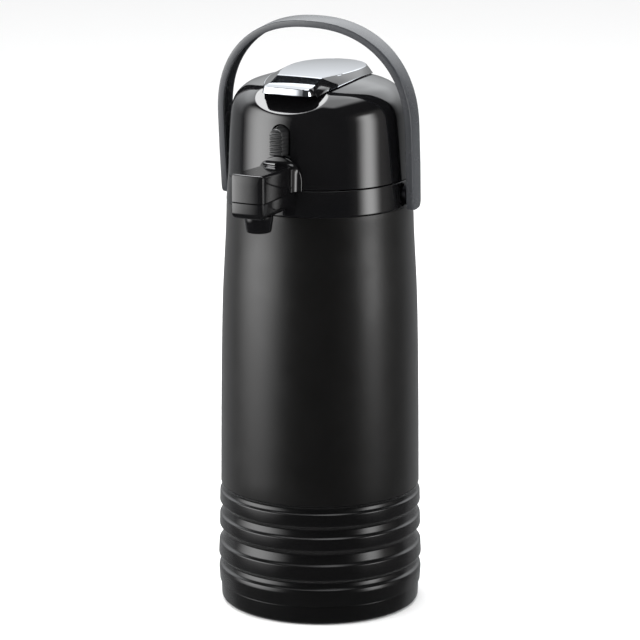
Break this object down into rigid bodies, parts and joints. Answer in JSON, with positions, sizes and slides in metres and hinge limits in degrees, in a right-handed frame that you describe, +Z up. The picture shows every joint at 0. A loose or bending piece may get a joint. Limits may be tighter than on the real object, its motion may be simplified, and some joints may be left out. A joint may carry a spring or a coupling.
{
  "type": "thermal coffee airpot",
  "caption": "Lever-action insulated airpot on a swivel base, with a hinged pump head, latch, pouring spout with nozzle and a bail handle.",
  "frame": {"origin": "centre of the foot pad's underside, on the surface that the airpot stands on", "axes": "+Z up along the pot's axis; the spout faces -Y; +X is on the right when the spout is looked at"},
  "size_m": [0.16, 0.2017, 0.4513],
  "materials": {
    "rubber": "matte",
    "satin_black": "satin",
    "matte_black": "matte",
    "gloss_black": "high gloss",
    "casing_paint": "fine textured satin paint",
    "handle_grey": "semi-gloss",
    "chromed_plastic": "chrome plated",
    "inner_plastic": "plain",
    "silicone": "matte",
    "steel": "brushed",
    "silvered_glass": "silvered"
  },
  "bodies": {
    "base": {"foot_pad": "rubber", "swivel_base": "satin_black", "swivel_pin": "steel", "swivel_ring": "inner_plastic"},
    "pot": {"bottom_cap": "satin_black", "liner_seat": "rubber", "base_sleeve": "satin_black", "body_casing": "casing_paint", "liner_outer": "silvered_glass", "liner_inner": "silvered_glass", "neck_gasket": "silicone", "shoulder_collar": "gloss_black", "lid_hinge_pin": "steel", "handle_stud_left": "steel", "handle_stud_right": "steel", "spout_trough": "gloss_black", "pour_nozzle": "gloss_black", "nozzle_o_ring": "rubber", "pour_pipe": "steel", "siphon_tube": "steel", "stopper": "inner_plastic", "stopper_gasket": "silicone"},
    "head": {"head_shell": "gloss_black", "spout_cover": "gloss_black", "pump_base": "inner_plastic", "air_seal": "silicone", "lever_pin": "steel", "head_screw_1": "steel", "head_screw_2": "steel", "head_screw_3": "steel", "bellows": "rubber", "bellows_spring": "steel", "latch_spring": "steel"},
    "latch": {"latch_button": "matte_black"},
    "lever": {"lever": "chromed_plastic"},
    "pump": {"pusher": "inner_plastic"},
    "handle": {"handle": "handle_grey"}
  },
  "joints": [
    {"name": "swivel", "type": "hinge", "parent": "base", "child": "pot", "pos_m": [0, 0, 0.01], "axis": [0, 0, 1], "continuous": true},
    {"name": "lid_hinge", "type": "hinge", "parent": "pot", "child": "head", "pos_m": [0, 0.0745, 0.334], "axis": [-1, 0, 0], "range_deg": [0, 15]},
    {"name": "handle_swing", "type": "hinge", "parent": "pot", "child": "handle", "pos_m": [0, 0, 0.322], "axis": [-1, 0, 0], "range_deg": [-50, 113]},
    {"name": "latch_press", "type": "slide", "parent": "head", "child": "latch", "axis": [0, 1, 0], "range_m": [0, 0.003], "stiffness_N_per_m": 600, "springref_m": -0.003, "deforming": ["latch_spring"]},
    {"name": "lever_lift", "type": "hinge", "parent": "head", "child": "lever", "pos_m": [0, 0.042, 0.4066], "axis": [-1, 0, 0], "range_deg": [0, 20]},
    {"name": "pump_stroke", "type": "slide", "parent": "head", "child": "pump", "axis": [0, 0, 1], "range_m": [0, 0.0152], "deforming": ["bellows", "bellows_spring"]}
  ],
  "couplings": [
    {"joint": "pump_stroke", "follows": "lever_lift", "m_per_rad": 0.043}
  ]
}
